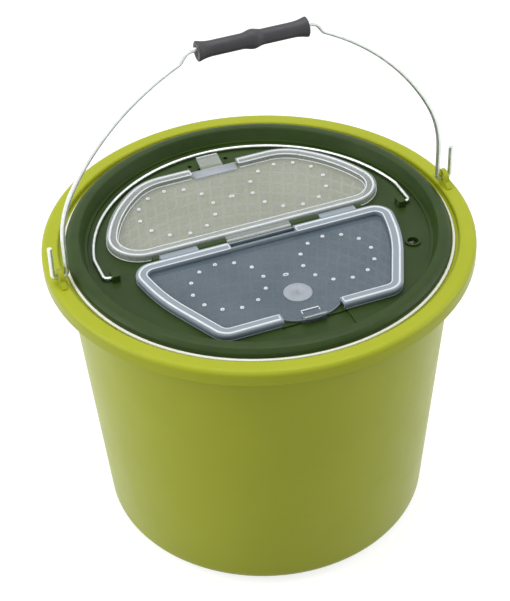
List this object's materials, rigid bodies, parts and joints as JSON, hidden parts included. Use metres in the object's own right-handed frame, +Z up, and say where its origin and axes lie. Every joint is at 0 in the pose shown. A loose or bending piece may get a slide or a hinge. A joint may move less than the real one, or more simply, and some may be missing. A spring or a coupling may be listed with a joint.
{
  "type": "aerated bait bucket",
  "caption": "Round bait bucket with a wire bail and grip, a lift-out perforated basket and a green lid with clear hinged doors and its own bail.",
  "frame": {"origin": "centre of the foot ring on the ground plane", "axes": "+Z up; +X along the bail ears and the door hinge; +Y towards the rear door, so the pictured front is -Y"},
  "size_m": [0.31, 0.31, 0.3997],
  "materials": {
    "lime_plastic": "moulded, semi-gloss",
    "olive_plastic": "moulded, satin",
    "natural_plastic": "thin natural polypropylene, slightly clear",
    "clear_front": "clear moulded plastic, cool tint",
    "clear_rear": "clear moulded plastic",
    "bail_steel": "bright plated wire",
    "pin_steel": "drawn wire",
    "grip_plastic": "dark moulded plastic"
  },
  "bodies": {
    "bucket": {"bucket": "lime_plastic"},
    "insert": {"basket": "natural_plastic", "lid": "olive_plastic", "hinge_pin": "pin_steel"},
    "front_door": {"front_door": "clear_front"},
    "rear_door": {"rear_door": "clear_rear"},
    "lid_bail": {"lid_bail": "bail_steel"},
    "handle": {"handle_bail": "bail_steel"},
    "grip": {"grip": "grip_plastic"}
  },
  "joints": [
    {"name": "handle_swing", "type": "hinge", "parent": "bucket", "child": "handle", "pos_m": [0, 0, 0.2416], "axis": [1, 0, 0], "range_deg": [-88, 88]},
    {"name": "grip_turn", "type": "hinge", "parent": "handle", "child": "grip", "pos_m": [0, 0, 0.39255], "axis": [1, 0, 0], "continuous": true},
    {"name": "insert_lift", "type": "slide", "parent": "bucket", "child": "insert", "axis": [0, 0, 1], "range_m": [0, 0.018]},
    {"name": "front_door_swing", "type": "hinge", "parent": "insert", "child": "front_door", "pos_m": [0, 0, 0.2339], "axis": [1, 0, 0], "range_deg": [-95, 0]},
    {"name": "rear_door_swing", "type": "hinge", "parent": "insert", "child": "rear_door", "pos_m": [0, 0, 0.2339], "axis": [1, 0, 0], "range_deg": [0, 95]},
    {"name": "lid_bail_swing", "type": "hinge", "parent": "insert", "child": "lid_bail", "pos_m": [0, -0.0052, 0.2331], "axis": [1, 0, 0], "range_deg": [0, 160]}
  ]
}
